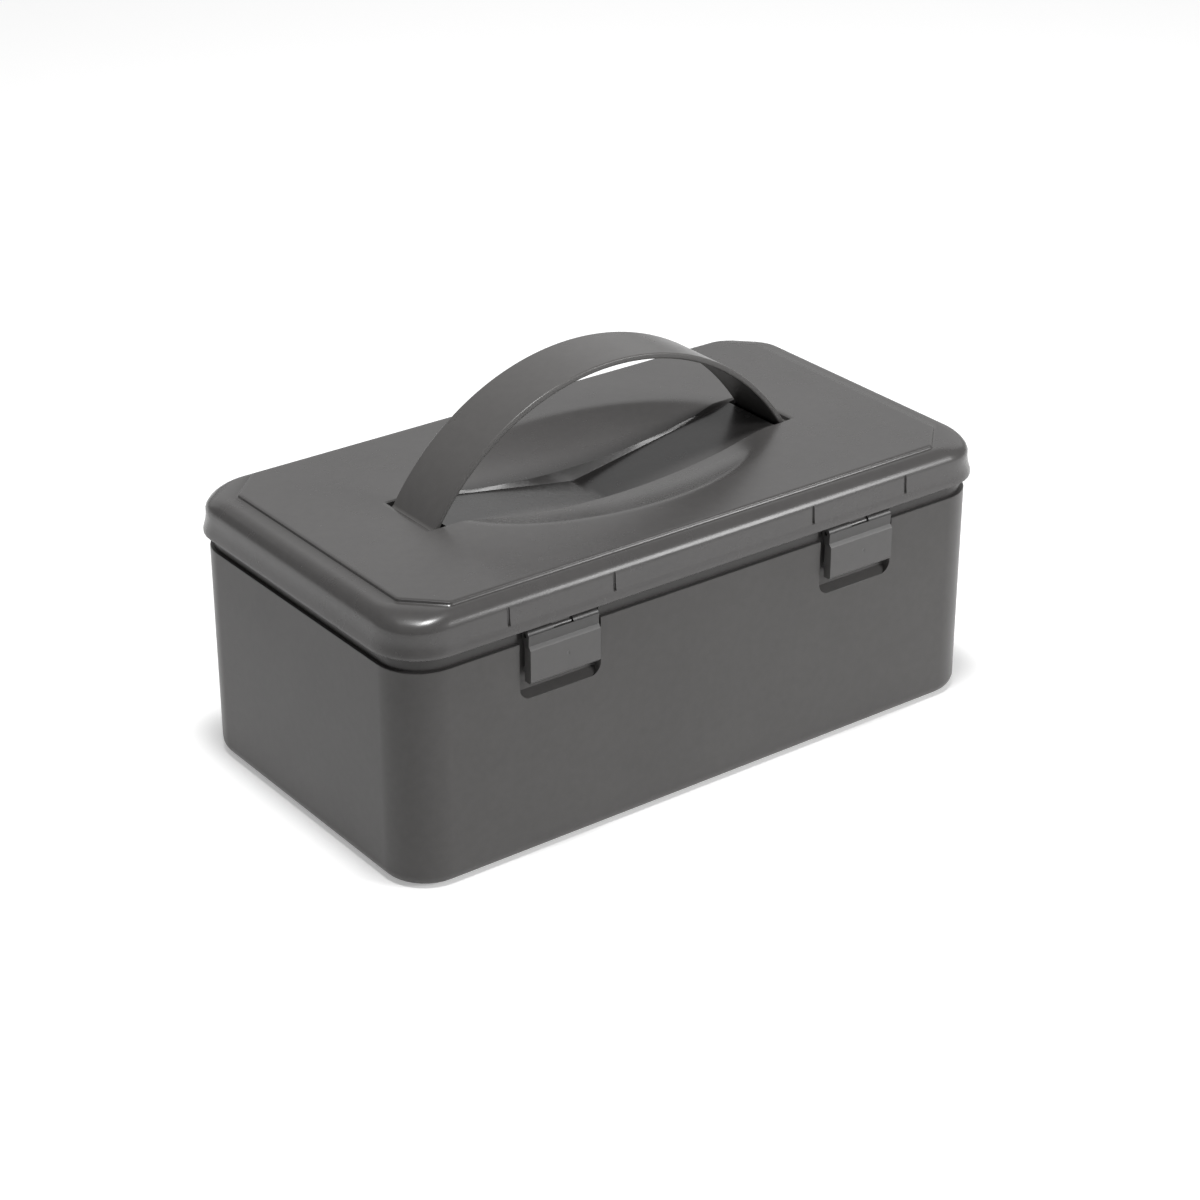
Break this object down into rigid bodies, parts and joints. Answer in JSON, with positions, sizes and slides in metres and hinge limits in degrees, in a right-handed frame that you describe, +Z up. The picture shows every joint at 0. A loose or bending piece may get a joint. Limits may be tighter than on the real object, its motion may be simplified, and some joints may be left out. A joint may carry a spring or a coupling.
{
  "type": "toolbox with tray",
  "caption": "Moulded plastic toolbox with a hinged lid, a wide arched carrying strap, two front snap latches and a lift-out divided tray.",
  "frame": {"origin": "on the ground under the middle of the tub's base", "axes": "+X along the box's length, to the right seen from the latches; -Y towards the latches; +Z up"},
  "size_m": [0.34, 0.1963, 0.191],
  "materials": {
    "tub": "satin moulded polypropylene",
    "lid": "satin moulded polypropylene",
    "strap": "smooth flexible polypropylene",
    "latch": "satin moulded polypropylene",
    "tray": "satin moulded polypropylene",
    "divider": "satin moulded polypropylene",
    "clamp": "matte moulded plastic",
    "steel": "zinc-plated steel"
  },
  "bodies": {
    "tub": {"tub": "tub", "hinge_pin_left": "steel", "hinge_pin_right": "steel"},
    "lid": {"lid": "lid", "handle_strap": "strap", "handle_clamp_left": "clamp", "handle_clamp_right": "clamp", "handle_screws_left": "steel", "handle_screws_right": "steel", "latch_pin_left": "latch", "latch_pin_right": "latch"},
    "latch_left": {"latch_left": "latch"},
    "latch_right": {"latch_right": "latch"},
    "tray": {"tray": "tray"},
    "divider_front_left": {"divider_front_left": "divider"},
    "divider_front_right": {"divider_front_right": "divider"},
    "divider_back_left": {"divider_back_left": "divider"},
    "divider_back_right": {"divider_back_right": "divider"}
  },
  "joints": [
    {"name": "lid_hinge", "type": "hinge", "parent": "tub", "child": "lid", "pos_m": [0, 0.098, 0.112], "axis": [-1, 0, 0], "range_deg": [0, 105]},
    {"name": "latch_left_pivot", "type": "hinge", "parent": "lid", "child": "latch_left", "pos_m": [-0.086, -0.09, 0.1115], "axis": [-1, 0, 0], "range_deg": [0, 50]},
    {"name": "latch_right_pivot", "type": "hinge", "parent": "lid", "child": "latch_right", "pos_m": [0.086, -0.09, 0.1115], "axis": [-1, 0, 0], "range_deg": [0, 50]},
    {"name": "tray_lift", "type": "slide", "parent": "tub", "child": "tray", "axis": [0, 0, 1], "range_m": [0, 0.07]},
    {"name": "divider_front_left_lift", "type": "slide", "parent": "tray", "child": "divider_front_left", "axis": [0, 0, 1], "range_m": [0, 0.04]},
    {"name": "divider_front_right_lift", "type": "slide", "parent": "tray", "child": "divider_front_right", "axis": [0, 0, 1], "range_m": [0, 0.04]},
    {"name": "divider_back_left_lift", "type": "slide", "parent": "tray", "child": "divider_back_left", "axis": [0, 0, 1], "range_m": [0, 0.04]},
    {"name": "divider_back_right_lift", "type": "slide", "parent": "tray", "child": "divider_back_right", "axis": [0, 0, 1], "range_m": [0, 0.04]}
  ],
  "couplings": [
    {"joint": "tray_lift", "follows": "lid_hinge", "m_per_rad": 0.0381},
    {"joint": "divider_front_left_lift", "follows": "lid_hinge", "m_per_rad": 0.0217},
    {"joint": "divider_front_right_lift", "follows": "lid_hinge", "m_per_rad": 0.0217},
    {"joint": "divider_back_left_lift", "follows": "lid_hinge", "m_per_rad": 0.0217},
    {"joint": "divider_back_right_lift", "follows": "lid_hinge", "m_per_rad": 0.0217}
  ]
}
